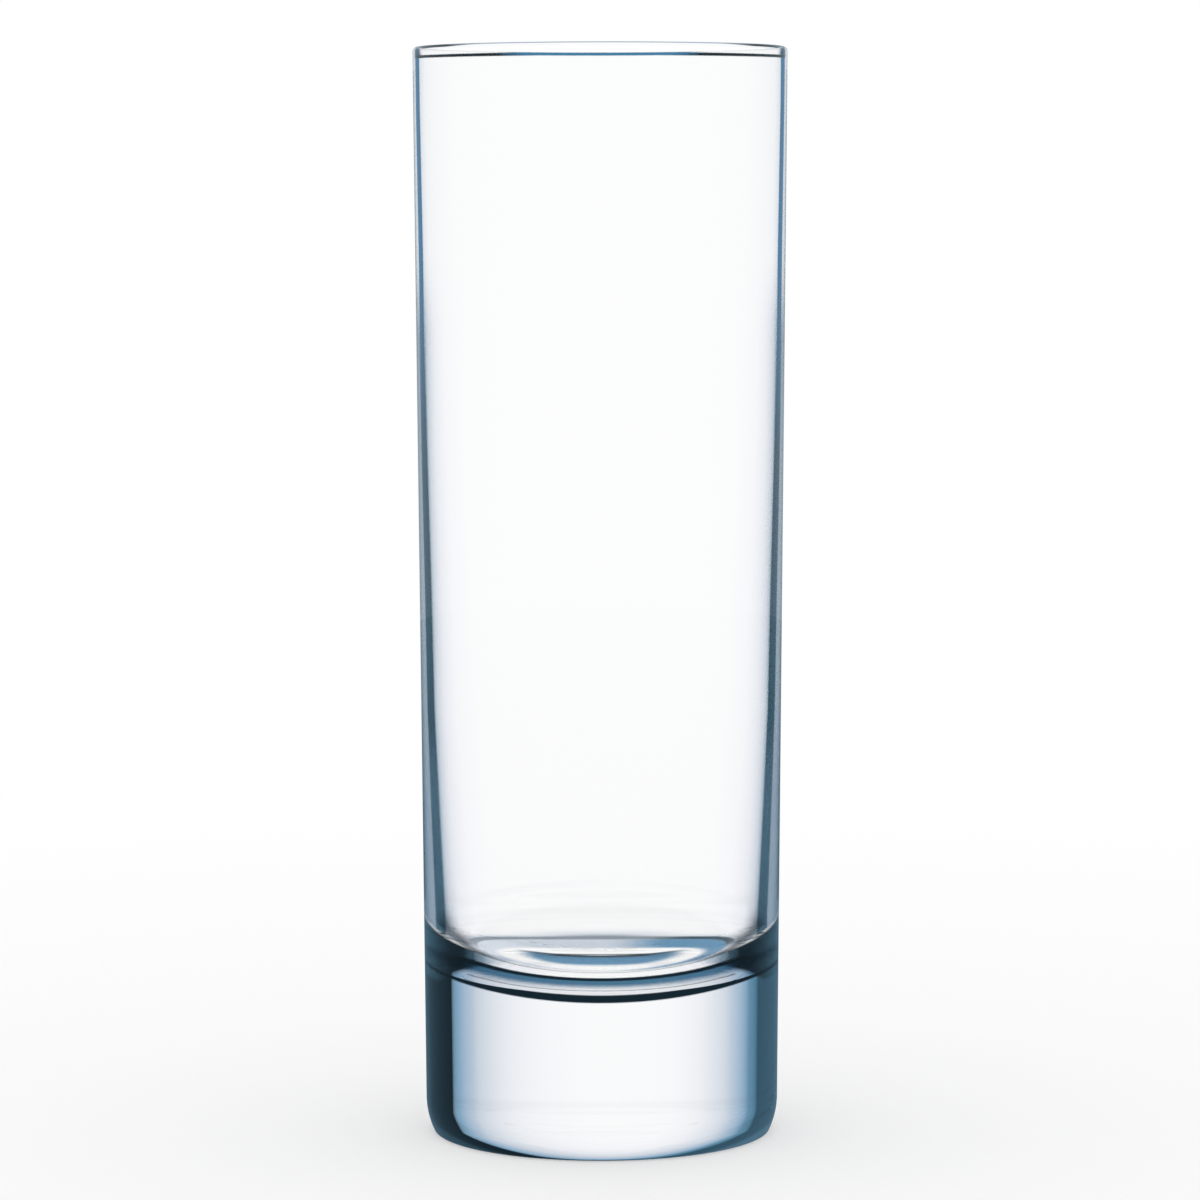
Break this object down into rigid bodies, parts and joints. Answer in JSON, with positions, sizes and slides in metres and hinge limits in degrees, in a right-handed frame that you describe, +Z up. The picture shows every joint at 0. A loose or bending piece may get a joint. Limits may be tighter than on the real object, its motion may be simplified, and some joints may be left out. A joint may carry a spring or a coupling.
{
  "type": "highball glass",
  "caption": "Tall drinking glass with a slight taper, a heavy solid base, a rounded cavity floor and a fire-polished rim.",
  "frame": {"origin": "centre of the foot, on the plane of the bearing ring that rests on the table", "axes": "+Z up along the axis of the glass; X and Y are free, because the glass is round"},
  "size_m": [0.052, 0.052, 0.1522],
  "materials": {
    "clear_glass": "polished, clear and colourless"
  },
  "bodies": {
    "root": {"heavy_base": "clear_glass", "side_wall": "clear_glass", "rim": "clear_glass"}
  },
  "joints": []
}
